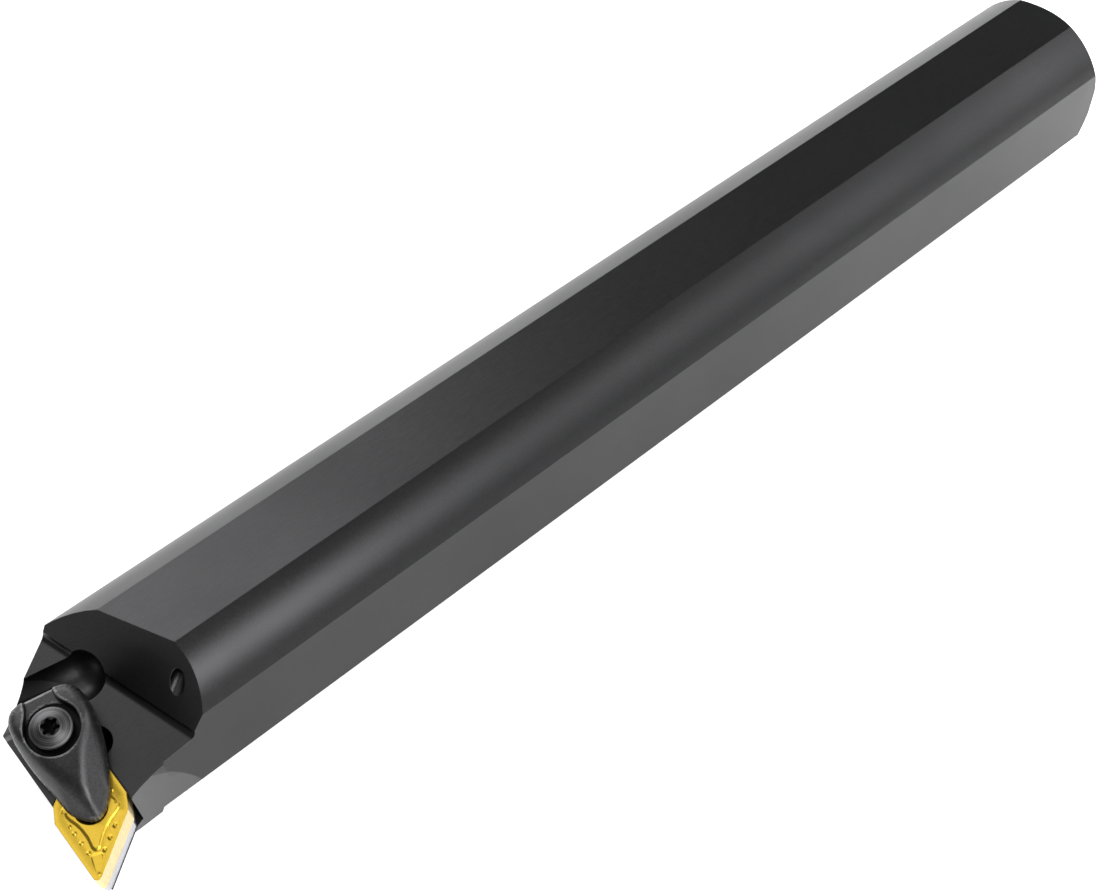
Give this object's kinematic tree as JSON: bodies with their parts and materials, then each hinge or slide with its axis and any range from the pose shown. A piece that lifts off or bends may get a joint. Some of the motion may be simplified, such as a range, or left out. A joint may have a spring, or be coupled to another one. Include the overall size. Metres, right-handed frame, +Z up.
{
  "type": "boring bar",
  "caption": "Right-hand indexable boring bar with a flatted round shank, through coolant, a rhombic turning insert on a shim and a screw-down top clamp.",
  "frame": {"origin": "centre of the rear end face, on the shank axis", "axes": "+X along the bar from the rear end to the cutting corner, +Y to the cutting side, +Z up to the rake side of the insert"},
  "size_m": [0.3, 0.047, 0.037],
  "materials": {
    "body_steel": "black oxide on ground and milled steel, satin",
    "clamp_steel": "black oxide on a precision forging, satin",
    "screw_steel": "black oxide on a turned head, satin",
    "hidden_steel": "bright drawn steel",
    "insert_coating": "golden nitride coating on sintered carbide, satin",
    "shim_carbide": "ground bare carbide, fine satin"
  },
  "bodies": {
    "bar": {"bar_body": "body_steel", "shim": "shim_carbide", "shim_screw": "hidden_steel", "insert": "insert_coating", "clamp_spring": "hidden_steel"},
    "clamp": {"clamp": "clamp_steel"},
    "screw": {"clamp_screw": "screw_steel"}
  },
  "joints": [
    {"name": "clamp_lift", "type": "slide", "parent": "bar", "child": "clamp", "axis": [0.1026, 0.1898, 0.9764], "range_m": [0, 0.003], "deforming": ["clamp_spring"]},
    {"name": "screw_turn", "type": "hinge", "parent": "clamp", "child": "screw", "pos_m": [0.29057, 0.00288, 0.00561], "axis": [0.1026, 0.1898, 0.9764], "range_deg": [0, 1350]}
  ],
  "couplings": [
    {"joint": "screw_turn", "follows": "clamp_lift", "rad_per_m": 7854}
  ]
}
